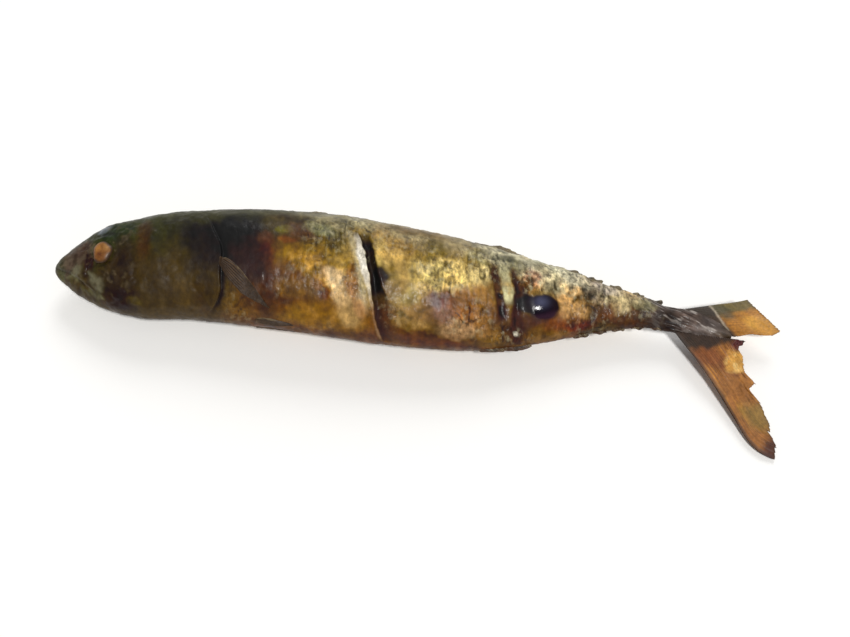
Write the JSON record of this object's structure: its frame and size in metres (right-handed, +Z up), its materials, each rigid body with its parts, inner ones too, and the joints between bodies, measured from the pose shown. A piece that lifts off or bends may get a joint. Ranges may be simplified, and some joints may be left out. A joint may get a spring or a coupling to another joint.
{
  "type": "smoked fish",
  "caption": "Whole smoked mackerel lying on its side, with knife cuts across its flanks and a frayed forked tail that has a broken lobe.",
  "frame": {"origin": "centre of the bounding box's base, on the surface that the fish lies on", "axes": "+X from the head to the tail, +Y towards the back, +Z up through the left flank"},
  "size_m": [0.3286, 0.0946, 0.0381],
  "materials": {
    "skin": "oily golden-brown smoked skin, near black on the back",
    "fin": "dry translucent orange-brown fin membrane",
    "flesh": "pale cooked flesh in the knife cuts",
    "eye": "dull orange cooked eye"
  },
  "bodies": {
    "root": {"smoked_fish": "skin"}
  },
  "joints": []
}
